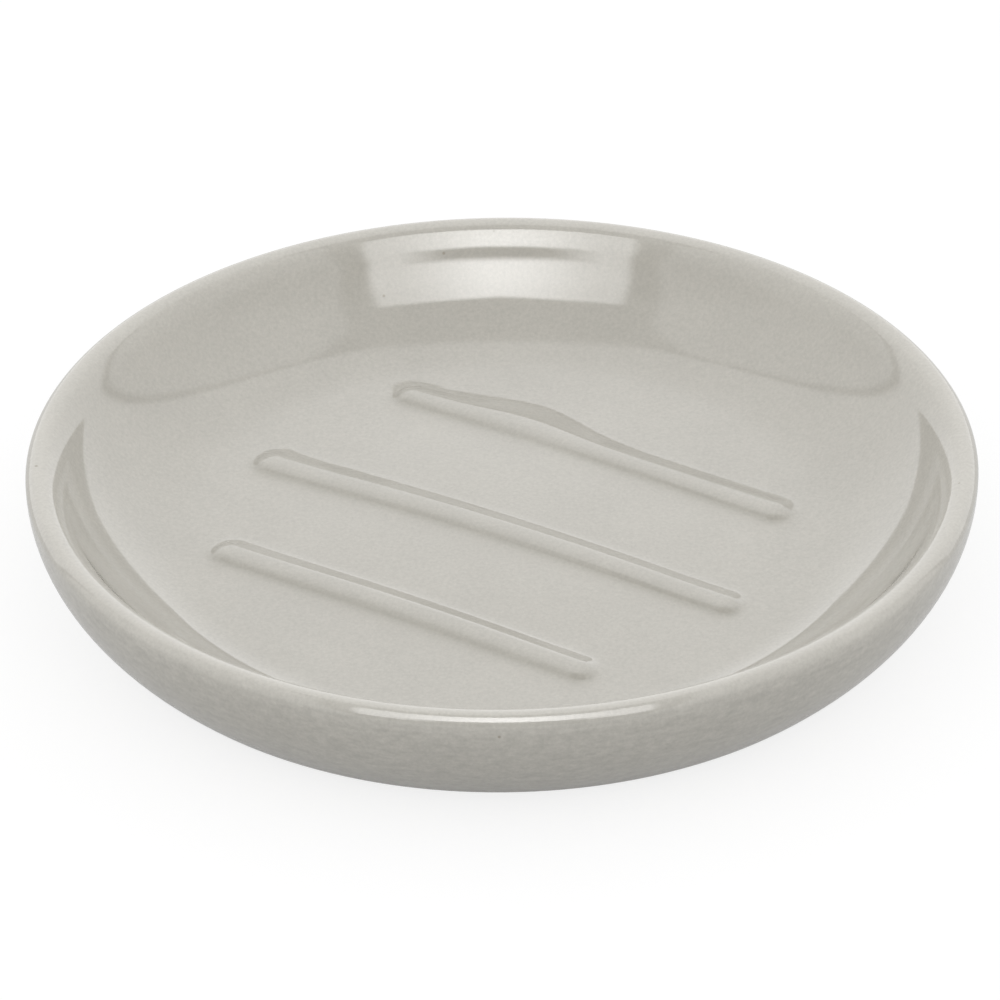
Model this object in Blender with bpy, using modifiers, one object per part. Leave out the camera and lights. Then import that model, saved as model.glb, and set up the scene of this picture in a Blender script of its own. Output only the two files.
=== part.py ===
"""Round glazed stoneware soap dish with three raised ribs, standing on four stick-on grip pads.

Metres. +Z is up, z = 0 is the plane that the pads stand on, and the dish's own axis is the Z axis.
"""

import math

import bmesh
import bpy
from mathutils import Matrix, Vector

# Driving sizes of the dish
OUTER_RADIUS = 0.0575
BODY_HEIGHT = 0.0159
LIP_REACH = 0.00138
LIP_DROP = 0.00119
LIP_RADIUS = 0.0025
LIP_TURN = math.radians(42)
SHOULDER_RADIUS = 0.0101
WALL_TILT = math.radians(57)
WALL_RADIUS = 0.0194
WALL_TURN = math.radians(40)
COVE_RADIUS = 0.0241
COVE_TURN = math.radians(24)
TOE_RADIUS = 0.0120
TOE_TURN = math.radians(1)
RUN_RADIUS = 0.2200
DOME_TURN = math.radians(2.7)
BELLY_REACH = 0.0900
BELLY_DROP = 0.0346
FOOT_EDGE = 0.00025
FOOT_WIDTH = 0.0042
FOOT_STEP_WIDTH = 0.0010
RECESS_DEPTH = 0.0010

# Driving sizes of the ribs, seen from above with the front of the dish towards -Y
RIB_TURN = math.radians(-31)
RIB_WIDTH = 0.0048
RIB_RISE = 0.0009
RIB_ROOT = 0.0010
RIBS = {
    "back": {"length": 0.0567, "across": 0.0214, "along": 0.0001},
    "middle": {"length": 0.0685, "across": -0.0002, "along": -0.0009},
    "front": {"length": 0.0542, "across": -0.0206, "along": -0.0017},
}

# Driving sizes of the pads
PAD_COUNT = 4
PAD_RADIUS = 0.0050
PAD_TO_STEP = 0.0035
PAD_PROUD = 0.0008
PAD_EDGE = 0.0003
PAD_FIRST_TURN = math.radians(45)

# Clearance between a pad and the face it is stuck to, where the glue film is. PAD_TO_STEP above is
# the clearance from a pad to the step round the recess.
GLUE_GAP = 0.0003

# How finely the round shapes are cut
TURN_STEPS = 96
LIP_STEPS = 5
SHOULDER_STEPS = 4
WALL_STEPS = 5
COVE_STEPS = 4
TOE_STEPS = 4
RUN_STEPS = 3
BELLY_STEPS = 8
CORNER_STEPS = 3
FLOOR_STEPS = 4
RIB_ROUND_STEPS = 20
RIB_HEIGHT_STEPS = 12
PAD_STEPS = 40

MERGE = 0.00001


def clear_scene():
    """Takes out whatever the empty scene came with."""
    for obj in list(bpy.data.objects):
        bpy.data.objects.remove(obj, do_unlink=True)


def collection(name):
    made = bpy.data.collections.new(name)
    bpy.context.scene.collection.children.link(made)
    return made


def material(name, colour, roughness, coat):
    made = bpy.data.materials.new(name)
    made.use_nodes = True
    shader = made.node_tree.nodes["Principled BSDF"]
    shader.inputs["Base Color"].default_value = (*colour, 1)
    shader.inputs["Roughness"].default_value = roughness
    shader.inputs["Metallic"].default_value = 0
    shader.inputs["Coat Weight"].default_value = coat
    return made


def mesh_object(name, bm, into, finish=None):
    """Turns a bmesh into an object in the given collection."""
    mesh = bpy.data.meshes.new(name)
    bm.to_mesh(mesh)
    bm.free()
    obj = bpy.data.objects.new(name, mesh)
    into.objects.link(obj)
    if finish:
        mesh.materials.append(finish)
    return obj


def arc(centre, reach, start, end, steps):
    """Points along an arc in the (radius, height) plane, its first point left out."""
    points = []
    for step in range(1, steps + 1):
        turn = start + (end - start) * step / steps
        across = centre[0] + reach[0] * math.cos(turn)
        up = centre[1] + reach[1] * math.sin(turn)
        points.append((across, up))
    return points


def both(size):
    """The two equal reaches of a circular arc."""
    return (size, size)


def along_normal(point, tilt, distance):
    """A point of the section moved square to a surface that slopes down inwards by this tilt."""
    return (point[0] - distance * math.sin(tilt), point[1] + distance * math.cos(tilt))


# Sizes worked out from the driving ones
quarter = math.pi / 2
foot_bottom = PAD_PROUD
lip_top = foot_bottom + BODY_HEIGHT
recess_top = foot_bottom + RECESS_DEPTH

# Inner side, from the lip down to the dome of the floor: each arc's centre lies on the line through
# the last centre and the point where the two arcs meet. The wall is steepest where the round of the
# shoulder turns into the hollow of the wall, and the floor is lowest in the long run-out from the toe.
lip_centre = (OUTER_RADIUS - LIP_REACH, lip_top - LIP_RADIUS)
shoulder_centre = along_normal(lip_centre, LIP_TURN, LIP_RADIUS - SHOULDER_RADIUS)
wall_centre = along_normal(shoulder_centre, WALL_TILT, SHOULDER_RADIUS + WALL_RADIUS)
cove_centre = along_normal(wall_centre, WALL_TURN, COVE_RADIUS - WALL_RADIUS)
toe_centre = along_normal(cove_centre, COVE_TURN, TOE_RADIUS - COVE_RADIUS)
run_centre = along_normal(toe_centre, TOE_TURN, RUN_RADIUS - TOE_RADIUS)
dome_edge = (
    run_centre[0] - RUN_RADIUS * math.sin(DOME_TURN),
    run_centre[1] - RUN_RADIUS * math.cos(DOME_TURN),
)
dome_radius = dome_edge[0] / math.sin(DOME_TURN)
dome_centre_height = dome_edge[1] - dome_radius * math.cos(DOME_TURN)

# Outer side: a small quarter of an ellipse over the lip, then a large one that the foot ring cuts short
lip_side = (lip_centre[0], lip_top - LIP_DROP)
belly_centre = (OUTER_RADIUS - BELLY_REACH, lip_side[1])
belly_end = math.asin((belly_centre[1] - foot_bottom - FOOT_EDGE) / BELLY_DROP)
belly_low = (
    belly_centre[0] + BELLY_REACH * math.cos(belly_end),
    belly_centre[1] - BELLY_DROP * math.sin(belly_end),
)
edge_turn = math.atan2(math.sin(belly_end) / BELLY_DROP, math.cos(belly_end) / BELLY_REACH)
edge_radius = FOOT_EDGE / (1 - math.sin(edge_turn))
edge_centre = (
    belly_low[0] - edge_radius * math.cos(edge_turn),
    belly_low[1] + edge_radius * math.sin(edge_turn),
)
foot_inner = edge_centre[0] - FOOT_WIDTH
recess_radius = foot_inner - FOOT_STEP_WIDTH
pad_circle = recess_radius - PAD_TO_STEP - PAD_RADIUS


def floor_height(radius):
    """Height of the floor, which is gently domed so that water runs off to its edge."""
    if radius < dome_edge[0]:
        return dome_centre_height + math.sqrt(dome_radius**2 - radius**2)
    return run_centre[1] - math.sqrt(RUN_RADIUS**2 - (radius - run_centre[0]) ** 2)


def dish_profile():
    """The section of the dish from its axis over the floor, up the cove, over the lip and down outside."""
    points = []
    for step in range(FLOOR_STEPS + 1):
        across = dome_edge[0] * step / FLOOR_STEPS
        points.append((across, dome_centre_height + math.sqrt(dome_radius**2 - across**2)))
    points += arc(run_centre, both(RUN_RADIUS), -quarter - DOME_TURN, TOE_TURN - quarter, RUN_STEPS)
    points += arc(toe_centre, both(TOE_RADIUS), TOE_TURN - quarter, COVE_TURN - quarter, TOE_STEPS)
    points += arc(cove_centre, both(COVE_RADIUS), COVE_TURN - quarter, WALL_TURN - quarter, COVE_STEPS)
    points += arc(wall_centre, both(WALL_RADIUS), WALL_TURN - quarter, WALL_TILT - quarter, WALL_STEPS)
    points += arc(
        shoulder_centre,
        both(SHOULDER_RADIUS),
        quarter + WALL_TILT,
        quarter + LIP_TURN,
        SHOULDER_STEPS,
    )
    points += arc(lip_centre, both(LIP_RADIUS), quarter + LIP_TURN, quarter, LIP_STEPS)
    points += arc(lip_side, (LIP_REACH, LIP_DROP), quarter, 0, LIP_STEPS)
    points += arc(belly_centre, (BELLY_REACH, BELLY_DROP), 0, -belly_end, BELLY_STEPS)
    points += arc(edge_centre, both(edge_radius), -edge_turn, -quarter, CORNER_STEPS)
    points.append((foot_inner, foot_bottom))
    points.append((recess_radius, recess_top))
    points.append((0, recess_top))
    return points


def turned(name, profile, steps, into, finish):
    """A turned solid: the profile carried once round the Z axis."""
    bm = bmesh.new()
    verts = [bm.verts.new((across, 0, up)) for across, up in profile]
    for low, high in zip(verts, verts[1:]):
        bm.edges.new((low, high))
    obj = mesh_object(name, bm, into, finish)
    screw = obj.modifiers.new("Turn", "SCREW")
    screw.angle = math.tau
    screw.steps = steps
    screw.render_steps = steps
    screw.use_merge_vertices = True
    screw.merge_threshold = MERGE
    screw.use_smooth_shade = False
    return obj


def rib(name, size, into):
    """One rib: a low bar with rounded ends and a rounded top, its lower part sunk in the floor."""
    half = RIB_WIDTH / 2
    straight = size["length"] / 2 - half
    bm = bmesh.new()
    for side in (-1, 1):
        shift = Matrix.Translation((side * straight, 0, 0))
        bmesh.ops.create_uvsphere(
            bm, u_segments=RIB_ROUND_STEPS, v_segments=RIB_HEIGHT_STEPS, radius=half, matrix=shift
        )
    for face in list(bm.faces):
        bm.faces.remove(face)
    hull = bmesh.ops.convex_hull(bm, input=bm.verts)
    unused = set(hull["geom_interior"]) | set(hull["geom_unused"])
    bmesh.ops.delete(bm, geom=[v for v in unused if isinstance(v, bmesh.types.BMVert)], context="VERTS")
    for vert in bm.verts:
        vert.co.z *= (RIB_RISE if vert.co.z > 0 else RIB_ROOT) / half
    seat = floor_height(abs(size["across"]))
    turn = Matrix.Rotation(RIB_TURN, 4, "Z")
    place = Vector((size["along"], size["across"], seat))
    bmesh.ops.transform(bm, matrix=turn @ Matrix.Translation(place), verts=bm.verts)
    bend_to_floor(bm, seat)
    bmesh.ops.recalc_face_normals(bm, faces=bm.faces)
    obj = mesh_object(name, bm, into)
    obj.hide_render = True
    obj.display_type = "WIRE"
    return obj


def bend_to_floor(bm, seat):
    """Lets each rib follow the domed floor from end to end."""
    for vert in bm.verts:
        radius = math.hypot(vert.co.x, vert.co.y)
        vert.co.z += floor_height(radius) - seat


def pad_profile():
    """Half section of one grip pad, with its lower edge taken off."""
    top = recess_top - GLUE_GAP
    return [
        (0, top),
        (PAD_RADIUS, top),
        (PAD_RADIUS, PAD_EDGE),
        (PAD_RADIUS - PAD_EDGE, 0),
        (0, 0),
    ]


clear_scene()
parts = collection("soap_dish")
helpers = collection("helpers")
helpers.hide_render = True

glaze = material("warm_grey_glaze", (0.552, 0.533, 0.491), 0.08, 1.0)
silicone = material("clear_grey_silicone", (0.62, 0.62, 0.60), 0.45, 0.0)

# The dish: one fired piece, so its ribs are joined into its floor
dish = turned("dish_body", dish_profile(), TURN_STEPS, parts, glaze)
for label, size in RIBS.items():
    join = dish.modifiers.new("Rib " + label, "BOOLEAN")
    join.operation = "UNION"
    join.solver = "EXACT"
    join.object = rib("rib_" + label, size, helpers)

# The pads: stuck in the shallow recess under the dish, standing just proud of its foot
for number in range(PAD_COUNT):
    pad = turned("grip_pad_" + str(number + 1), pad_profile(), PAD_STEPS, parts, silicone)
    turn = PAD_FIRST_TURN + number * math.tau / PAD_COUNT
    pad.location = (pad_circle * math.cos(turn), pad_circle * math.sin(turn), 0)
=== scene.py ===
# %% [markdown]
# A round soap dish, made in a pottery from glazed stoneware.
# The real one is a single fired piece: a shallow bowl with a rounded lip, three low ribs that keep
# the soap out of the water, and a foot ring under it. Four soft stick-on pads keep it from sliding.
# The solid model with the right sizes is loaded first. Every piece below is made in its frame, in
# metres.

# %% Load the solid model, with a way to read a part's box
import math

import bmesh
import bpy
from mathutils import Matrix, Vector


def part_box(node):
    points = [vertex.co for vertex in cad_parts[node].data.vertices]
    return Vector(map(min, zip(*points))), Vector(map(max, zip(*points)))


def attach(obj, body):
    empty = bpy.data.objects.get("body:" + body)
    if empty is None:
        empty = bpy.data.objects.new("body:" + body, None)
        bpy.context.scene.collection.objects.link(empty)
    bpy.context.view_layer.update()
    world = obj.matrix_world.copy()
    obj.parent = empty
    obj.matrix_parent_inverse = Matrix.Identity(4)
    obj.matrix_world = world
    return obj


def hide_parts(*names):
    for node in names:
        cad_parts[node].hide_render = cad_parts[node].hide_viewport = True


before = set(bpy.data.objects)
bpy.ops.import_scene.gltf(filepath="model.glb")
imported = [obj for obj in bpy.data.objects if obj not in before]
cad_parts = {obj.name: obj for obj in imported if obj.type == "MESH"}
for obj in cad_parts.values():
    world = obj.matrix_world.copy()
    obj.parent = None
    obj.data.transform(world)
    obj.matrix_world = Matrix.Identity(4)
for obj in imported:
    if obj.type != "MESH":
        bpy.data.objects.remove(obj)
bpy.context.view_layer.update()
print("solid nodes:", sorted(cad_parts))

# %% [markdown]
# Blender works out light in linear values, while a colour picker gives sRGB values, so one function
# turns hex colours to linear. Another one adds a shader node with its settings and links, which
# keeps each material readable as a list of what it is made of. A link may be a plain value, another
# node's output, or a whole node, which then gives its first output. Inputs that share a name are
# told apart by their number, such as 6 and 7 for the two colours of a Mix node.

# %% Colours and nodes
MM = 0.001
NOISE, RANGE, MATH = "ShaderNodeTexNoise", "ShaderNodeMapRange", "ShaderNodeMath"
VECTOR_MATH, BUMP, MIX = "ShaderNodeVectorMath", "ShaderNodeBump", "ShaderNodeMix"
PLUS, TIMES = {"operation": "ADD"}, {"operation": "MULTIPLY"}
TIMES_PLUS, LARGER = {"operation": "MULTIPLY_ADD"}, {"operation": "MAXIMUM"}
COLOURS = {"data_type": "RGBA"}


def linear(hex_colour):
    """An sRGB hex colour as the linear red, green, blue and alpha that a shader wants."""
    channels = [int(hex_colour[i : i + 2], 16) / 255 for i in (1, 3, 5)]
    return (*[c / 12.92 if c <= 0.04045 else ((c + 0.055) / 1.055) ** 2.4 for c in channels], 1.0)


def add(tree, kind, settings=None, **links):
    """Adds a node. Settings are its properties; links are its inputs, by name or as i0, i1."""
    node = tree.nodes.new(kind)
    for name, value in (settings or {}).items():
        setattr(node, name, value)
    for name, value in links.items():
        numbered = name[0] == "i" and name[1:].isdigit()
        socket = node.inputs[int(name[1:]) if numbered else name.replace("_", " ")]
        if isinstance(value, bpy.types.Node):
            value = value.outputs[0]
        if isinstance(value, bpy.types.NodeSocket):
            tree.links.new(value, socket)
        else:
            socket.default_value = value
    return node


def new_material(name):
    """An empty material, with its node tree and the places on the piece that patterns follow."""
    made = bpy.data.materials.new(name)
    made.use_nodes = True
    made.node_tree.nodes.clear()
    place = add(made.node_tree, "ShaderNodeTexCoord").outputs["Object"]
    return made, made.node_tree, place


print("a mid grey, #808080, in linear values:", round(linear("#808080")[0], 3))

# %% [markdown]
# A finished piece is one mesh at the origin. Its faces are smooth shaded, and it rides on the
# part's one body, which is called root because nothing on a soap dish moves.

# %% Finish a piece
def finish(name, bm, materials, stands_for=()):
    """Turns a bmesh into a finished piece of the object."""
    mesh = bpy.data.meshes.new(name)
    bm.to_mesh(mesh)
    bm.free()
    for face in mesh.polygons:
        face.use_smooth = True
    for made in materials:
        mesh.materials.append(made)
    piece = bpy.data.objects.new(name, mesh)
    bpy.context.scene.collection.objects.link(piece)
    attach(piece, "root")
    if stands_for:
        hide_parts(*stands_for)
    triangles = sum(len(face.vertices) - 2 for face in mesh.polygons)
    print(name, "has", triangles, "triangles")


# %% [markdown]
# The section of the dish is the shape that a potter's template would scrape, and its sizes are
# those of the solid model. Each round of it is one point spun about the middle of its arc, and its
# last point is where the next arc starts. The arcs meet without a kink, because each centre lies on
# the line through the last one.

# %% An arc of the section
def spin_point(bm, point, centre, turn, steps):
    """Spins a point about a centre in the XZ plane and gives the arc's points after the first."""
    before = set(bm.verts)
    bmesh.ops.spin(
        bm,
        geom=[point],
        cent=centre,
        axis=Vector((0, 1, 0)),
        angle=turn,
        steps=steps,
        use_duplicate=False,
    )
    fresh = [v for v in bm.verts if v not in before]
    start = point.co.copy()
    return sorted(fresh, key=lambda v: (v.co - centre).angle(start - centre))


def beside(point, tilt, radius, side):
    """The centre of an arc that touches a surface of this tilt, below it (1) or above it (-1)."""
    return point.co + Vector((math.sin(tilt), 0, -math.cos(tilt))) * radius * side


OUTER_RADIUS = 57.5 * MM
LIP_REACH = 1.38 * MM
LIP_TOP = 16.7 * MM
crest = Vector((OUTER_RADIUS - LIP_REACH, 0, LIP_TOP))
print("the lip is highest at a radius of", round(crest.x / MM, 2), "mm")

# %% [markdown]
# Inside, the section runs from the lip's crest over a soft shoulder to a wall that is steepest
# close under the rim, then through a wide cove to a shallow gutter. From there the floor rises a
# little to the middle, so that water runs off under the soap.

# %% Inside of the dish
BELOW, ABOVE = 1, -1
DOME_TURN = math.radians(2.7)
FLOOR_RINGS = 32
# each arc's radius, the side of its centre, the tilt at its end, and its steps
INNER_ARCS = {
    "lip": (2.51 * MM, BELOW, math.radians(42), 10),
    "shoulder": (10.14 * MM, BELOW, math.radians(56.97), 14),
    "wall": (19.38 * MM, ABOVE, math.radians(40), 16),
    "cove": (24.12 * MM, ABOVE, math.radians(24), 16),
    "toe": (12.0 * MM, ABOVE, math.radians(1.5), 12),
    "gutter": (220 * MM, ABOVE, -DOME_TURN, 22),
}


def inner_section(bm, top):
    """The arcs from the crest to the domed floor. Gives the gutter's lowest point and the last."""
    arc, tilt = [top], 0
    for radius, side, end, steps in INNER_ARCS.values():
        centre = beside(arc[-1], tilt, radius, side)
        arc = spin_point(bm, arc[-1], centre, tilt - end, steps)
        tilt = end
    return min(arc, key=lambda vert: vert.co.z), arc[-1]


def domed_floor(bm, edge):
    """The middle of the floor, as an arc of a very large sphere from its edge to the axis."""
    centre = beside(edge, -DOME_TURN, edge.co.x / math.sin(DOME_TURN), BELOW)
    arc = spin_point(bm, edge, centre, -DOME_TURN, FLOOR_RINGS)
    arc[-1].co.x = 0


print("the floor's dome turns through", round(math.degrees(DOME_TURN), 1), "degrees")

# %% [markdown]
# Outside, the lip turns over to its widest place in three arcs, and the belly curves in evenly down
# to a narrow foot ring. A spin only draws circles, so the long flattened round of the belly is
# squashed in height afterwards. A shallow recess lies under the dish, inside the foot ring.

# %% Outside of the dish
LIP_EDGE = ((1.12 * MM, math.radians(39.5)), (2.5 * MM, math.radians(53.5)))
BELLY_REACH = 90.0 * MM
BELLY_DROP = 34.6 * MM
BELLY_STEPS = 28
EDGE_STEPS = 6
FOOT_BOTTOM = 0.8 * MM
FOOT_EDGE = 0.75 * MM
FOOT_WIDTH = 4.2 * MM
RECESS_TOP = 1.8 * MM
RECESS_RINGS = 12
UPRIGHT = math.radians(90)
# how far in from the foot's outer edge and how high, in mm
UNDER_FOOT = (
    (1.68, 0.80),
    (3.36, 0.80),
    (4.20, 0.92),
    (4.45, 1.16),
    (4.95, 1.62),
    (5.35, 1.77),
    (5.80, 1.80),
)


def lip_edge(bm, top):
    """The outer round of the lip, down to the widest place. The last arc's radius follows."""
    point, tilt = top, 0
    for radius, end in (*LIP_EDGE, (None, UPRIGHT)):
        radius = radius or (OUTER_RADIUS - point.co.x) / (1 - math.sin(tilt))
        inward = Vector((math.sin(tilt), 0, math.cos(tilt))) * -radius
        point = spin_point(bm, point, point.co + inward, end - tilt, EDGE_STEPS)[-1]
        tilt = end
    return point


def carry_on(bm, last, places):
    """Carries the section on in straight steps, through places of a radius and a height."""
    for radius, height in places:
        new = bm.verts.new((radius, 0, height))
        bm.edges.new((last, new))
        last = new
    return last


def outer_section(bm, top):
    """Lip, belly, foot ring and recess, back under to the axis. Gives the foot's outer radius."""
    side = lip_edge(bm, top)
    centre = side.co - Vector((BELLY_REACH, 0, 0))
    turn = math.asin((side.co.z - FOOT_BOTTOM - FOOT_EDGE) / BELLY_DROP)
    belly = spin_point(bm, side, centre, turn, BELLY_STEPS)
    level = Matrix.Translation((0, 0, -centre.z))
    bmesh.ops.scale(bm, vec=(1, 1, BELLY_DROP / BELLY_REACH), space=level, verts=belly)
    low = belly[-1]
    edge_turn = math.atan2(math.sin(turn) / BELLY_DROP, math.cos(turn) / BELLY_REACH)
    inward = Vector((-math.cos(edge_turn), 0, math.sin(edge_turn)))
    corner = low.co + inward * FOOT_EDGE / (1 - math.sin(edge_turn))
    last = spin_point(bm, low, corner, UPRIGHT - edge_turn, EDGE_STEPS)[-1]
    foot_outer = last.co.x
    last = carry_on(bm, last, [(foot_outer - inner * MM, z * MM) for inner, z in UNDER_FOOT])
    shares = [1 - ring / RECESS_RINGS for ring in range(1, RECESS_RINGS + 1)]
    reach = last.co.x
    carry_on(bm, last, [(reach * share, RECESS_TOP) for share in shares])
    return foot_outer


print("the recess is", round((RECESS_TOP - FOOT_BOTTOM) / MM, 1), "mm deep inside the foot ring")

# %% [markdown]
# The whole section is then spun once round the dish's axis. A full spin leaves a seam where the
# last step meets the first, so it is merged, and the normals are made to point outwards afterwards.
# Points of the outer section carry a 1, growing from 0 at the lip, so that the outer side can be
# told apart.

# %% Spin the dish
SPIN_STEPS = 180
LIP_DEPTH = 2 * MM
MERGE_REACH = 0.004 * MM

dish = bmesh.new()
outer_layer = dish.verts.layers.float.new("outer_side")
top_point = dish.verts.new(crest)
gutter_point, dome_edge = inner_section(dish, top_point)
FLOOR_RADIUS, FLOOR_EDGE = gutter_point.co.x, gutter_point.co.z
domed_floor(dish, dome_edge)
inner_points = set(dish.verts)
FOOT_OUTER = outer_section(dish, top_point)
for vert in dish.verts:
    if vert not in inner_points:
        vert[outer_layer] = min(1, (LIP_TOP - vert.co.z) / LIP_DEPTH)
print("the gutter is", round(FLOOR_EDGE / MM, 2), "mm up, at", round(FLOOR_RADIUS / MM, 2), "mm")

bmesh.ops.spin(
    dish,
    geom=dish.verts[:] + dish.edges[:],
    cent=(0, 0, 0),
    axis=(0, 0, 1),
    angle=math.tau,
    steps=SPIN_STEPS,
    use_merge=True,
    use_duplicate=False,
)
bmesh.ops.remove_doubles(dish, verts=dish.verts[:], dist=MERGE_REACH)
bmesh.ops.recalc_face_normals(dish, faces=dish.faces[:])
open_edges = [edge for edge in dish.edges if not edge.is_manifold]
print("the dish has", len(dish.faces), "faces and", len(open_edges), "open edges")

# %% [markdown]
# The three ribs are part of the clay. On the real dish they are pressed in the mould, and the glaze
# rounds them off and fills the corner where they meet the floor, in a soft hollow curve. Two of
# them grow a little narrower or wider towards one end, and the back one bows out and swells behind,
# as hand-finished clay does. These sizes are in mm.

# %% Where the ribs run
RIB_TURN = math.radians(-31)
RIBS = {
    "back": dict(length=56.7, across=21.6, along=0.1, slant=-0.015, halves=(2.05, 2.4), bow=0.85),
    "middle": dict(length=68.5, across=0.04, along=-0.9, slant=0.0, halves=(2.5, 2.3), bow=0.0),
    "front": dict(length=54.2, across=-20.5, along=-1.7, slant=-0.021, halves=(2.4, 2.35), bow=0.0),
}
BOW_AT = -10.5
BOW_REACH = 8.5
SWELL_FRONT = 0.6
SWELL_BACK = 2.2
rib_frame = Matrix.Rotation(-RIB_TURN, 3, "Z")


def between(low, high, share):
    """The value at this share of the way from low to high, held at both ends."""
    return low + (high - low) * min(1, max(0, share))


def from_rib(point, name):
    """A point's distance from a rib's middle line, the rib's half width, and the offset back."""
    rib = RIBS[name]
    local = (rib_frame @ Vector((point.x, point.y, 0))) / MM
    along = local.x - rib["along"]
    bow = rib["bow"] * math.exp(-(((along - BOW_AT) / BOW_REACH) ** 2))
    half = between(*rib["halves"], 0.5 + along / rib["length"])
    beyond = max(0.0, abs(along) - rib["length"] / 2 + half)
    offset = local.y - rib["across"] - rib["slant"] * local.x - bow
    half += bow * (SWELL_BACK if offset > 0 else SWELL_FRONT)
    return math.hypot(beyond, offset), half, offset


print("the ribs are", [rib["length"] for rib in RIBS.values()], "mm long")

# %% [markdown]
# A rib is round on top and falls off evenly at its back, while its front stays full for longer.
# A power of the distance gives that, higher where the side is fuller. The glaze adds its hollow
# curve at the rib's foot, which is widest in front and weaker past the rib's ends.

# %% How high the ribs stand
RIB_RISE = 0.68
RIB_FILLET = 0.12
CROWN_FRONT = 2.9
CROWN_BACK = 1.5
HOLLOW_RISE = 0.22
HOLLOW_FRONT = 3.2
HOLLOW_BACK = 1.6
LOST_PAST_END = 0.7


def lift(distance, half, offset):
    """Height over the floor, in mm: the rib's round top and the glaze in the corner at its foot."""
    crown = between(CROWN_FRONT, CROWN_BACK, 0.5 + offset / half)
    bar = RIB_RISE * (1 - (distance / half) ** crown)
    width = between(HOLLOW_FRONT, HOLLOW_BACK, 0.5 + 0.5 * offset / half)
    past_end = min(1, math.sqrt(max(0, distance**2 - offset**2)) / half)
    hollow = max(0, 1 - max(0, distance - half) / width) ** 2 * (1 - LOST_PAST_END * past_end)
    return (bar + math.hypot(bar, RIB_FILLET)) / 2 + HOLLOW_RISE * hollow


print("a rib rises", round(lift(0, 2.4, 0), 2), "mm over the floor")

# %% [markdown]
# The spun floor is too coarse for ribs, so it is cut finer around them first. Its points are then
# lifted by how near they are to the middle line of a rib.

# %% Cut the floor finer and lift the ribs
INNER_FLOOR = 41 * MM
FLOOR_SLACK = 0.1 * MM
REFINED = 3.2
CUTS = 3
LEAST_RISE = 0.002


def on_floor(point):
    """Whether a point is on the open floor, well inside the cove."""
    return point.z > FLOOR_EDGE - FLOOR_SLACK and math.hypot(point.x, point.y) < INNER_FLOOR


def near_a_rib(point):
    """Whether a point is on the floor and close to a rib."""
    return on_floor(point) and min(from_rib(point, rib)[0] for rib in RIBS) < REFINED


around = [face for face in dish.faces if near_a_rib(face.calc_center_median())]
edges = {edge for face in around for edge in face.edges}
bmesh.ops.subdivide_edges(dish, edges=list(edges), cuts=CUTS, use_grid_fill=True)
lifted = 0
for vert in dish.verts:
    if not on_floor(vert.co):
        continue
    rise = max(lift(*from_rib(vert.co, rib)) for rib in RIBS)
    if rise > LEAST_RISE:
        vert.co.z += rise * MM
        lifted += 1
print("lifted", lifted, "points to make the ribs")

# %% [markdown]
# Glaze runs away from edges while it is melted, so it lies thin and pale on the ribs' crests
# and on the lip. A number on each point says how pale or dark the glaze is: below 0.5 where it
# runs thin, and above 0.5 at the front foot of each rib, which is painted shade. Glaze does gather
# in such corners, but this darkening is put on the front side of the ribs only, where shade falls.

# %% Thin glaze, and painted shade at the ribs' feet
THIN_AT_LIP = 1.6 * MM
THIN_ON_RIB = 0.1
CREST_REACH = 1.1
# where the painted shade at a rib's front foot lies and how far it reaches, in mm
FOOT_SHADE_AT = 0.15
FOOT_SHADE_REACH = 0.7

break_and_shade_layer = dish.verts.layers.float.new("glaze_break_and_shade")


def glaze_break_and_shade(point):
    """0.5 is the usual glaze: less where it runs thin on crests, more as painted shade at rib feet.
    """
    thin = front_foot_shade = 0.0
    if point.z > LIP_TOP - LIP_DEPTH:
        from_crest = math.hypot(point.x, point.y) - crest.x
        thin = math.exp(-((from_crest / THIN_AT_LIP) ** 2))
    if on_floor(point):
        nearest, half, offset = min(from_rib(point, rib) for rib in RIBS)
        thin += THIN_ON_RIB * math.exp(-((nearest / CREST_REACH) ** 2))
        # painted shade: the corner at a rib's foot is darkened on its front side only
        corner = math.exp(-(((nearest - half - FOOT_SHADE_AT) / FOOT_SHADE_REACH) ** 2))
        front_foot_shade = corner * between(0, 1, -offset / half)
    return 0.5 - 0.5 * min(1, thin) + 0.5 * min(1, front_foot_shade)


# each point keeps its thin glaze and its painted shade as one number
for vert in dish.verts:
    vert[break_and_shade_layer] = glaze_break_and_shade(vert.co)
print("glaze thickness is stored on", len(dish.verts), "points")

# %% [markdown]
# The glaze is a warm light grey, opaque and glossy: a thin coat of glass, fired on. Its colour is
# paler where the glaze runs thin, darker at the ribs' front feet, where shade is painted in, and it
# varies slightly in wide clouds, with a fine grain from the clay. Nearly all values of a noise
# texture lie between 0.3 and 0.7, so the patterns are spread out from there.

# %% Colour of the glaze
GLAZE = linear("#BAB7AF")
GLAZE_THIN = linear("#C4C1B9")
# a darker glaze colour for the painted shade at the ribs' front feet
GLAZE_PAINTED_SHADE = linear("#AFACA3")
MOST = {"From_Min": 0.3, "From_Max": 0.7}
CLOUD_SIZE = 9 * MM
CLOUD_DARK, CLOUD_PALE = 0.975, 1.02
GRAIN_SIZE = 0.45 * MM
GRAIN_DEPTH = 0.09
GRAIN_SPAN = {"From_Min": 0.25, "From_Max": 0.75}

glazed, tree, place = new_material("warm_grey_gloss_glaze")
break_and_shade = add(tree, "ShaderNodeAttribute", {"attribute_name": "glaze_break_and_shade"}).outputs["Fac"]
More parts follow.
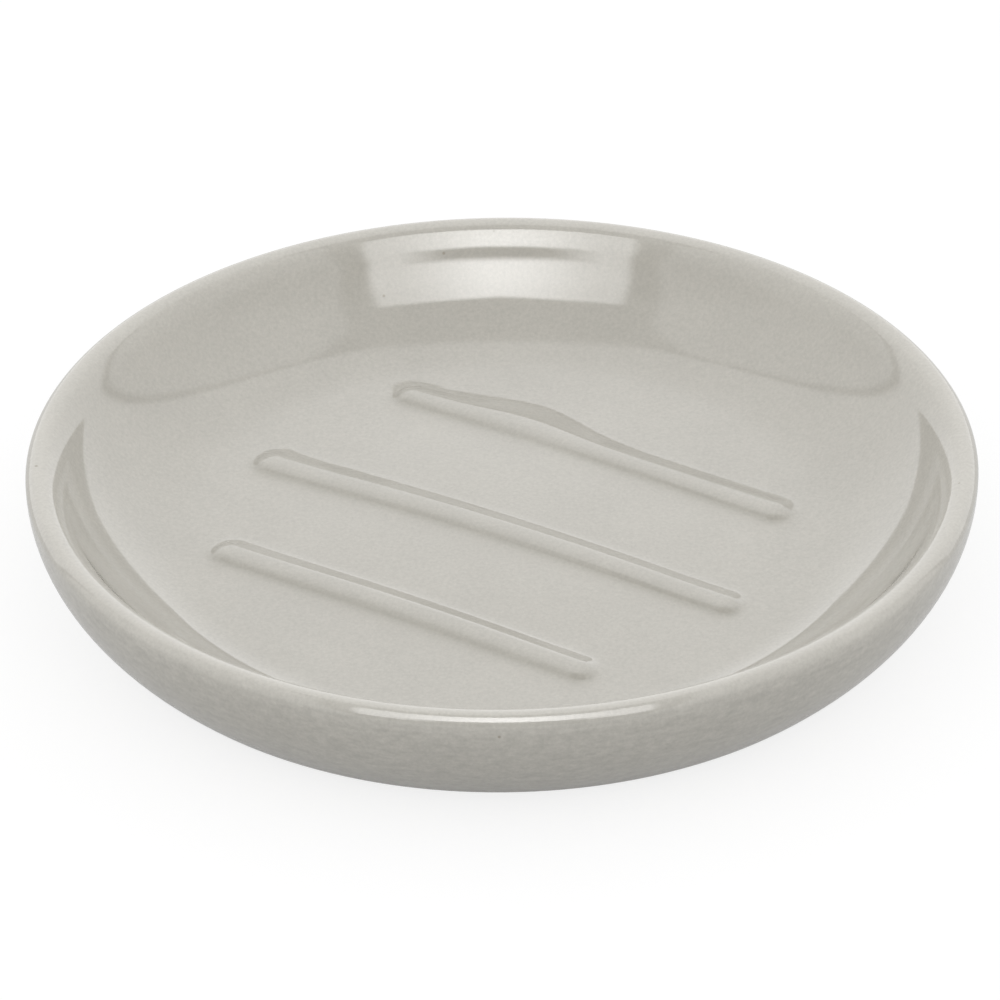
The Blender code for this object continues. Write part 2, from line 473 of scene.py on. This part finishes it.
# the ramp is paler for thin glaze and darker for the painted shade at the ribs' front feet
coat = add(tree, "ShaderNodeValToRGB", Fac=break_and_shade)
stops = coat.color_ramp.elements
stops.new(0.5)
for stop, (amount, colour) in zip(stops, ((0.0, GLAZE_THIN), (0.5, GLAZE), (1.0, GLAZE_PAINTED_SHADE))):
    stop.position = amount
    stop.color = colour
clouds = add(tree, NOISE, Vector=place, Scale=1 / CLOUD_SIZE, Detail=3.0)
clouds = add(tree, RANGE, Value=clouds, To_Min=CLOUD_DARK, To_Max=CLOUD_PALE, **MOST)
grain = add(tree, NOISE, Vector=place, Scale=1 / GRAIN_SIZE, Detail=3.0, Roughness=0.7)
paler, darker = 1 + GRAIN_DEPTH, 1 - GRAIN_DEPTH
grain = add(tree, RANGE, Value=grain, To_Min=darker, To_Max=paler, **GRAIN_SPAN)
print("glaze colour", [round(c, 3) for c in GLAZE[:3]])

# %% [markdown]
# On the outer side, a sponge has left faint marks that run round the dish. They are a noise that is
# squeezed in height, so that its lumps lie flat, and the number on each point of the outer side
# keeps them off the inside.

# %% Sponge marks
MARK_SIZE = 1.8 * MM
MARK_FLATNESS = 2.5
MARK_DEPTH = 0.07

outer = add(tree, "ShaderNodeAttribute", {"attribute_name": "outer_side"}).outputs["Fac"]
flat = add(tree, "ShaderNodeMapping", Vector=place, Scale=(1, 1, MARK_FLATNESS))
marks = add(tree, NOISE, Vector=flat, Scale=1 / MARK_SIZE, Detail=2.0)
marks = add(tree, RANGE, Value=marks, To_Min=-1.0, To_Max=1.0, **MOST)
marks = add(tree, MATH, TIMES, i0=marks, i1=outer)
marked = add(tree, MATH, TIMES_PLUS, i0=marks, i1=MARK_DEPTH, i2=clouds)
shade = add(tree, MATH, TIMES, i0=marked, i1=grain)
toned = add(tree, VECTOR_MATH, {"operation": "SCALE"}, i0=coat, Scale=shade)
print("the sponge marks change the shade by up to", round(100 * MARK_DEPTH), "%")

# %% [markdown]
# Iron in the clay bleeds through the glaze in a few small specks. A cell pattern has one point in
# each cell, so the specks are the nearest parts around those points, and only about a quarter of
# the cells keep theirs, by a random colour that each cell has.

# %% Iron specks
IRON_SPECK = linear("#A39D91")
SPECK_SPACING = 7 * MM
SPECK_CORE, SPECK_RIM = 0.126 * MM, 0.252 * MM
RARE_FROM, RARE_TO = 0.7, 0.75

cells = add(tree, "ShaderNodeTexVoronoi", Vector=place, Scale=1 / SPECK_SPACING)
speck = add(
    tree,
    RANGE,
    Value=cells.outputs["Distance"],
    From_Min=SPECK_CORE / SPECK_SPACING,
    From_Max=SPECK_RIM / SPECK_SPACING,
    To_Min=1.0,
    To_Max=0.0,
)
chance = add(tree, "ShaderNodeSeparateColor", Color=cells.outputs["Color"])
rare = add(tree, RANGE, Value=chance, From_Min=RARE_FROM, From_Max=RARE_TO)
dark = add(tree, MATH, TIMES, i0=speck, i1=rare)
specked = add(tree, MIX, COLOURS, i0=dark, i6=toned, i7=IRON_SPECK).outputs[2]
print("the specks are about", round(2 * SPECK_RIM / MM, 1), "mm across")

# %% [markdown]
# Glass has an IOR of about 1.5 and reflects sharply, but a fired glaze is never quite flat. Long
# low waves bend the reflections, a finer skin like orange peel breaks them up a little, and its
# polish varies slightly from place to place.

# %% Gloss of the glaze
POLISH_SIZE = 5 * MM
POLISH_BEST, POLISH_WORST = 0.045, 0.08
GLAZE_IOR = 1.5
WAVE_SIZE = 14 * MM
WAVE_HEIGHT = 0.016 * MM
PEEL_SIZE = 1.6 * MM
PEEL_HEIGHT = 0.0012 * MM

polish = add(tree, NOISE, Vector=place, Scale=1 / POLISH_SIZE, Detail=3.0)
polish = add(tree, RANGE, Value=polish, To_Min=POLISH_BEST, To_Max=POLISH_WORST, **MOST)
waves = add(tree, NOISE, Vector=place, Scale=1 / WAVE_SIZE, Detail=1.0)
peel = add(tree, NOISE, Vector=place, Scale=1 / PEEL_SIZE, Detail=1.0)
low = add(tree, BUMP, Strength=1.0, Distance=WAVE_HEIGHT, Height=waves)
fine = add(tree, BUMP, Strength=1.0, Distance=PEEL_HEIGHT, Height=peel, Normal=low)
shader = add(
    tree,
    "ShaderNodeBsdfPrincipled",
    Base_Color=specked,
    Roughness=polish,
    IOR=GLAZE_IOR,
    Normal=fine,
)
add(tree, "ShaderNodeOutputMaterial", Surface=shader)
print("the glaze's waves are", round(WAVE_HEIGHT / MM, 3), "mm high")

# %% [markdown]
# A kiln shelf would stick to glaze, so the ring that the dish stands on in the kiln is wiped clean
# before firing. What shows there is the bare fired clay: matt, a little rough, and sandy in colour.

# %% Bare stoneware of the foot ring
CLAY = linear("#C9BBA3")
CLAY_DARK = linear("#AB9A80")
CLAY_IOR = 1.45
GRIT_SIZE = 0.5 * MM
GRIT_HEIGHT = 0.05 * MM
PATCH_SIZE = 6 * MM
PATCH_SHARE = 0.5
SAND_DARK, SAND_PALE = 0.45, 1.0
SAND_SMOOTH, SAND_ROUGH = 0.75, 0.95

bare, tree, place = new_material("bare_fired_stoneware")
sand = add(tree, NOISE, Vector=place, Scale=1 / GRIT_SIZE, Detail=4.0, Roughness=0.7)
patches = add(tree, NOISE, Vector=place, Scale=1 / PATCH_SIZE, Detail=2.0)
both = add(tree, MATH, TIMES_PLUS, i0=patches, i1=PATCH_SHARE, i2=sand)
both = add(tree, RANGE, Value=both, From_Min=SAND_DARK, From_Max=SAND_PALE)
rough = add(tree, RANGE, Value=sand, To_Min=SAND_SMOOTH, To_Max=SAND_ROUGH, **MOST)
shader = add(
    tree,
    "ShaderNodeBsdfPrincipled",
    Base_Color=add(tree, MIX, COLOURS, i0=both, i6=CLAY_DARK, i7=CLAY).outputs[2],
    Roughness=rough,
    IOR=CLAY_IOR,
    Normal=add(tree, BUMP, Strength=1.0, Distance=GRIT_HEIGHT, Height=sand),
)
add(tree, "ShaderNodeOutputMaterial", Surface=shader)

print("the sand's grit is about", round(GRIT_SIZE / MM, 1), "mm across")

# %% [markdown]
# The glaze is wiped off in a ring a little wider than the foot's flat underside, up to where its
# rounded edges begin to rise. The faces there get the second material.

# %% Wipe the foot ring and finish the dish
WIPED_INSIDE = 0.1 * MM
WIPED_OUTSIDE = 0.5 * MM
WIPED_HEIGHT = 0.15 * MM

for face in dish.faces:
    middle = face.calc_center_median()
    radius = math.hypot(middle.x, middle.y)
    ring = FOOT_OUTER - FOOT_WIDTH - WIPED_INSIDE < radius < FOOT_OUTER + WIPED_OUTSIDE
    face.material_index = 1 if ring and middle.z < FOOT_BOTTOM + WIPED_HEIGHT else 0
wiped = sum(1 for face in dish.faces if face.material_index)
print("the foot ring has", wiped, "faces of bare clay")

finish("stoneware_dish", dish, [glazed, bare], ["dish_body"])

# %% [markdown]
# The pads are cast from clear silicone. It lets light in a little way, which the subsurface
# settings give, its IOR is about 1.41, and its skin is satin, with the faint texture of its mould.

# %% Clear silicone
SILICONE_DULL = linear("#D4D5D0")
SILICONE_PALE = linear("#DDDEDA")
SILICONE_IOR = 1.41
HAZE_SIZE = 2.5 * MM
SATIN_SIZE = 0.4 * MM
SATIN_BEST, SATIN_WORST = 0.38, 0.55
LIGHT_SHARE = 0.4
LIGHT_REACH = 1.2 * MM
SKIN_SIZE = 0.5 * MM
SKIN_HEIGHT = 0.01 * MM

silicone, tree, place = new_material("clear_grey_silicone")
haze = add(tree, NOISE, Vector=place, Scale=1 / HAZE_SIZE, Detail=3.0)
satin = add(tree, NOISE, Vector=place, Scale=1 / SATIN_SIZE, Detail=3.0)
skin = add(tree, NOISE, Vector=place, Scale=1 / SKIN_SIZE, Detail=3.0)
shader = add(
    tree,
    "ShaderNodeBsdfPrincipled",
    Base_Color=add(tree, MIX, COLOURS, i0=haze, i6=SILICONE_DULL, i7=SILICONE_PALE).outputs[2],
    Roughness=add(tree, RANGE, Value=satin, To_Min=SATIN_BEST, To_Max=SATIN_WORST, **MOST),
    IOR=SILICONE_IOR,
    Subsurface_Weight=LIGHT_SHARE,
    Subsurface_Radius=(1.0, 1.0, 1.0),
    Subsurface_Scale=LIGHT_REACH,
    Normal=add(tree, BUMP, Strength=1.0, Distance=SKIN_HEIGHT, Height=skin),
)
add(tree, "ShaderNodeOutputMaterial", Surface=shader)

print("light reaches about", round(LIGHT_REACH / MM, 1), "mm into the silicone")

# %% [markdown]
# Each pad comes on a disc of acrylic glue film. It is clear and has an IOR of about 1.47, but thin
# and pressed on glaze it shows little more than the glaze's colour, with small milky clouds.

# %% Glue film
GLUE_DULL = linear("#BDBBB2")
GLUE_PALE = linear("#C6C4BC")
GLUE_IOR = 1.47
GLUE_CLOUD_SIZE = 1.5 * MM
GLUE_RIPPLE_SIZE = 0.8 * MM
GLUE_BEST, GLUE_WORST = 0.25, 0.4

film, tree, place = new_material("clear_acrylic_glue_film")
milky = add(tree, NOISE, Vector=place, Scale=1 / GLUE_CLOUD_SIZE, Detail=3.0)
ripple = add(tree, NOISE, Vector=place, Scale=1 / GLUE_RIPPLE_SIZE, Detail=3.0)
shader = add(
    tree,
    "ShaderNodeBsdfPrincipled",
    Base_Color=add(tree, MIX, COLOURS, i0=milky, i6=GLUE_DULL, i7=GLUE_PALE).outputs[2],
    Roughness=add(tree, RANGE, Value=ripple, To_Min=GLUE_BEST, To_Max=GLUE_WORST, **MOST),
    IOR=GLUE_IOR,
)
add(tree, "ShaderNodeOutputMaterial", Surface=shader)
print("glue colour", [round(c, 3) for c in GLUE_DULL[:3]])

# %% [markdown]
# A disc is a short cylinder whose lower rim is rounded with a bevel. The film fills the gap between
# the pad and the glaze, so that the pad is held by something.

# %% Grip pads and their glue film
PAD_RADIUS = 5.0 * MM
PAD_TOP = 1.5 * MM
PAD_EDGE = 0.45 * MM
FILM_RADIUS = 4.7 * MM
FILM_EDGE = 0.05 * MM
DISC_SIDES = 64
RIM_SEGMENTS = 4


def disc(radius, low, high, centre, round_low):
    """A disc between two heights, with its lower rim rounded."""
    bm = bmesh.new()
    bmesh.ops.create_circle(bm, cap_ends=True, segments=DISC_SIDES, radius=radius)
    raised = bmesh.ops.extrude_face_region(bm, geom=bm.faces[:])["geom"]
    upper = [part for part in raised if isinstance(part, bmesh.types.BMVert)]
    bmesh.ops.translate(bm, vec=(0, 0, high - low), verts=upper)
    bmesh.ops.recalc_face_normals(bm, faces=bm.faces[:])
    rim = [edge for edge in bm.edges if not any(vert in upper for vert in edge.verts)]
    bmesh.ops.bevel(
        bm,
        geom=rim,
        offset=round_low,
        offset_type="OFFSET",
        affect="EDGES",
        segments=RIM_SEGMENTS,
        profile=0.5,
        material=-1,
    )
    bmesh.ops.translate(bm, vec=(centre.x, centre.y, low), verts=bm.verts[:])
    return bm


for number in (1, 2, 3, 4):
    node = "grip_pad_" + str(number)
    low_corner, high_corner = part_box(node)
    middle = (low_corner + high_corner) / 2
    pad = disc(PAD_RADIUS, 0, PAD_TOP, middle, PAD_EDGE)
    finish("silicone_pad_" + str(number), pad, [silicone], [node])
    glue = disc(FILM_RADIUS, PAD_TOP, RECESS_TOP, middle, FILM_EDGE)
    finish("glue_film_" + str(number), glue, [film])

# %% [markdown]
# The stage is a plain pale floor. It looks white to the camera and in reflections, as a lit studio
# table does, and it still takes the soft shadow of the dish. It lies a hair below the pads, because
# two faces in one plane would flicker.

# %% Pale floor
FLOOR_SIZE = 6.0
FLOOR_DROP = 0.02 * MM

bm = bmesh.new()
bmesh.ops.create_grid(bm, x_segments=1, y_segments=1, size=FLOOR_SIZE / 2)
bmesh.ops.translate(bm, vec=(0, 0, -FLOOR_DROP), verts=bm.verts[:])
mesh = bpy.data.meshes.new("studio_floor")
bm.to_mesh(mesh)
bm.free()
studio_floor = bpy.data.objects.new("studio_floor", mesh)
bpy.context.scene.collection.objects.link(studio_floor)
print("floor is", FLOOR_SIZE, "m across")

# %% [markdown]
# The floor's own colour takes the shadow, and a glow on top of it makes it white. The glow is there
# for what the camera, a reflection or a clear material sees, and never for the light on the dish.
# The camera sees a darker colour with more glow, so that the shadow stays faint.

# %% White of the floor
TABLE = linear("#C8C8C8")
TABLE_SHOWN = linear("#7C7C7C")
GLOW_IN_GLOSS = 0.28
GLOW_SHOWN = 0.82
WHITE = (1, 1, 1, 1)

table = bpy.data.materials.new("pale_studio_table")
table.use_nodes = True
tree = table.node_tree
tree.nodes.clear()
path = add(tree, "ShaderNodeLightPath").outputs
in_view = path["Is Camera Ray"]
shown = add(tree, MATH, PLUS, i0=in_view, i1=path["Is Glossy Ray"])
at_most_one = {**PLUS, "use_clamp": True}
shown = add(tree, MATH, at_most_one, i0=shown, i1=path["Is Transmission Ray"])
extra = add(tree, MATH, TIMES, i0=in_view, i1=GLOW_SHOWN - GLOW_IN_GLOSS)
glow = add(tree, MATH, TIMES_PLUS, i0=shown, i1=GLOW_IN_GLOSS, i2=extra)
tone = add(tree, MIX, COLOURS, i0=in_view, i6=TABLE, i7=TABLE_SHOWN).outputs[2]
matt = add(tree, "ShaderNodeBsdfDiffuse", Color=tone)
lit = add(tree, "ShaderNodeEmission", Color=WHITE, Strength=glow)
table_sum = add(tree, "ShaderNodeAddShader", i0=matt, i1=lit)
add(tree, "ShaderNodeOutputMaterial", Surface=table_sum)
studio_floor.data.materials.append(table)
print("the floor glows with", GLOW_SHOWN, "towards the camera")

# %% [markdown]
# The light is that of a small cloth tent: soft white from all round, which gives the glaze its even
# colour. Gloss shows what the tent looks like, so the world also draws it for reflections only: a
# bright lamp panel over the camera, paler cloth on both sides, a wall and a ceiling behind, and
# dark gaps between them. Every straight edge in a room is a plane through the eye, so each edge is
# one dot product of the direction with three weights, for sideways, to the front and up.

# %% Directions and edges of the tent
world = bpy.data.worlds.new("cloth_light_tent")
bpy.context.scene.world = world
world.use_nodes = True
world.cycles.sampling_method = "NONE"
tree = world.node_tree
tree.nodes.clear()

direction = add(tree, "ShaderNodeTexCoord").outputs["Generated"]
axes = add(tree, "ShaderNodeSeparateXYZ", Vector=direction).outputs
sideways = add(tree, MATH, {"operation": "ABSOLUTE"}, i0=axes[0])
to_front = add(tree, MATH, TIMES, i0=axes[1], i1=-1.0)
aim = add(tree, "ShaderNodeCombineXYZ", X=sideways, Y=to_front, Z=axes[2])
DOT = {"operation": "DOT_PRODUCT"}


def cloth(glow, *edges):
    """A lit area of the tent, cut off at straight edges of three weights and how soft it is."""
    for *weights, soft in edges:
        past = add(tree, VECTOR_MATH, DOT, i0=aim, i1=weights).outputs["Value"]
        inside = add(tree, RANGE, Value=past, From_Min=-soft, From_Max=soft)
        glow = add(tree, MATH, TIMES, i0=glow, i1=inside)
    return glow


print("the world has", len(tree.nodes), "nodes to tell directions apart")

# %% [markdown]
# The lamp panel is brightest in its middle and falls off to the sides, as cloth in front of a lamp
# does, and it is a little dimmer along its top. Its lower edge is straight in the middle, and the
# panel reaches further down towards its two ends.

# %% Lamp panel
PANEL_MIDDLE = 10.2
PANEL_SIDE = 4.2
PANEL_FALL = -4.0
PANEL_TOP_DIM = 0.82
PANEL_TOP_REACH = 0.8
CORNER_FROM, CORNER_TO = 0.38, 0.75
TOP_WEIGHTS = (0.55, 2.75, -1)
HALF_WIDTH_WEIGHTS = (0, 0.53, 0.24)
LEAST_WIDTH = 0.01
PANEL_TOP = (*TOP_WEIGHTS, 0.05)
PANEL_ENDS = (-1, *HALF_WIDTH_WEIGHTS[1:], 0.02)
PANEL_LOW = (0, -0.889, 1, 0.05)
CORNER_LOW = (0, -0.6, 1, 0.02)

half_width = add(tree, VECTOR_MATH, DOT, i0=aim, i1=HALF_WIDTH_WEIGHTS).outputs["Value"]
half_width = add(tree, MATH, LARGER, i0=half_width, i1=LEAST_WIDTH)
share = add(tree, MATH, {"operation": "DIVIDE"}, i0=sideways, i1=half_width)
fall = add(tree, MATH, TIMES, i0=share, i1=share)
fall = add(tree, MATH, TIMES, i0=fall, i1=PANEL_FALL)
fall = add(tree, MATH, {"operation": "EXPONENT"}, i0=fall)
panel = add(tree, MATH, TIMES_PLUS, i0=fall, i1=PANEL_MIDDLE - PANEL_SIDE, i2=PANEL_SIDE)
under_top = add(tree, VECTOR_MATH, DOT, i0=aim, i1=TOP_WEIGHTS).outputs["Value"]
dim = add(tree, RANGE, Value=under_top, From_Max=PANEL_TOP_REACH, To_Min=PANEL_TOP_DIM)
panel = add(tree, MATH, TIMES, i0=panel, i1=dim)
in_corner = add(tree, RANGE, Value=share, From_Min=CORNER_FROM, From_Max=CORNER_TO)
corner_low = add(tree, MATH, TIMES, i0=in_corner, i1=cloth(1.0, CORNER_LOW))
lower = add(tree, MATH, LARGER, i0=corner_low, i1=cloth(1.0, PANEL_LOW))
panel = add(tree, MATH, TIMES, i0=panel, i1=lower)
panel = cloth(panel, PANEL_TOP, PANEL_ENDS)
print("the panel's middle is", round(PANEL_MIDDLE / PANEL_SIDE, 1), "times as bright as its sides")

# %% [markdown]
# The rest of the tent is added to the panel. Only gloss sees it: all other light comes from an even
# white of strength 1, at which a colour renders about as it is written.

# %% The rest of the tent
SOFT_LIGHT = 1.0
WING_GLOW = 1.0
BACK_GLOW = 1.4
GAP_GLOW = 0.12
TOP_GLOW = 0.36
AREAS = {
    "wings": (WING_GLOW, (1, -0.62, -0.37, 0.02), (0.49, 1, 0, 0.02), (2.4, 0, -1, 0.06)),
    "back": (BACK_GLOW, (-0.56, -1, 0, 0.02), (0, -5.8, -1, 0.3)),
    "gap": (GAP_GLOW, (0, 2.6, -1, 0.05)),
    "top": (TOP_GLOW, (0, -2.6, 1, 0.05)),
}

room = panel
for glow, *edges in AREAS.values():
    room = add(tree, MATH, PLUS, i0=room, i1=cloth(glow, *edges))
glossy = add(tree, "ShaderNodeLightPath").outputs["Is Glossy Ray"]
for_gloss = add(tree, MATH, TIMES, i0=glossy, i1=room)
not_glossy = add(tree, MATH, {"operation": "SUBTRACT"}, i0=1.0, i1=glossy)
for_all_else = add(tree, MATH, TIMES, i0=not_glossy, i1=SOFT_LIGHT)
strength = add(tree, MATH, PLUS, i0=for_gloss, i1=for_all_else)
sky = add(tree, "ShaderNodeBackground", Color=WHITE, Strength=strength)
add(tree, "ShaderNodeOutputWorld", Surface=sky)
print("the tent's panel is up to", PANEL_MIDDLE / SOFT_LIGHT, "times as bright as the cloth")

# %% [markdown]
# The camera stands in front of the dish and looks down on it at about a third of a right angle,
# from far enough away that the round lip is nearly an ellipse. It is turned a little about its own
# axis, and aimed so that the frame's origin falls on the right place in the picture.

# %% Camera
CAMERA_DISTANCE = 1.0
CAMERA_HEIGHT = math.radians(32.794)
PIXELS_PER_MM = 8.2124
FRAME_PIXELS = 1000
ORIGIN_AT = (502.93, 570.30)
ROLL = math.radians(0.592)
SENSOR_WIDTH = 36
CLIP_START = 0.01

towards = Vector((0, math.cos(CAMERA_HEIGHT), -math.sin(CAMERA_HEIGHT)))
camera_up = Vector((0, math.sin(CAMERA_HEIGHT), math.cos(CAMERA_HEIGHT)))
right = Vector((1, 0, 0))
shift = [pixel - FRAME_PIXELS / 2 for pixel in ORIGIN_AT]
rolled = Matrix.Rotation(-ROLL, 2) @ Vector((shift[0], -shift[1]))
target = (camera_up * -rolled.y - right * rolled.x) * (MM / PIXELS_PER_MM)
camera_data = bpy.data.cameras.new("studio_camera")
camera_data.sensor_width = SENSOR_WIDTH
camera_data.lens = SENSOR_WIDTH * PIXELS_PER_MM * CAMERA_DISTANCE / MM / FRAME_PIXELS
camera_data.clip_start = CLIP_START
camera = bpy.data.objects.new("studio_camera", camera_data)
bpy.context.scene.collection.objects.link(camera)
camera.location = towards * -CAMERA_DISTANCE
look = (target - camera.location).to_track_quat("-Z", "Y").to_matrix().to_4x4()
camera.matrix_world = Matrix.Translation(camera.location) @ look @ Matrix.Rotation(-ROLL, 4, "Z")
bpy.context.scene.camera = camera
print("lens", round(camera_data.lens), "mm")

# %% [markdown]
# Colours are shown as they are, with no film look.

# %% Colour settings
bpy.context.scene.view_settings.view_transform = "Standard"
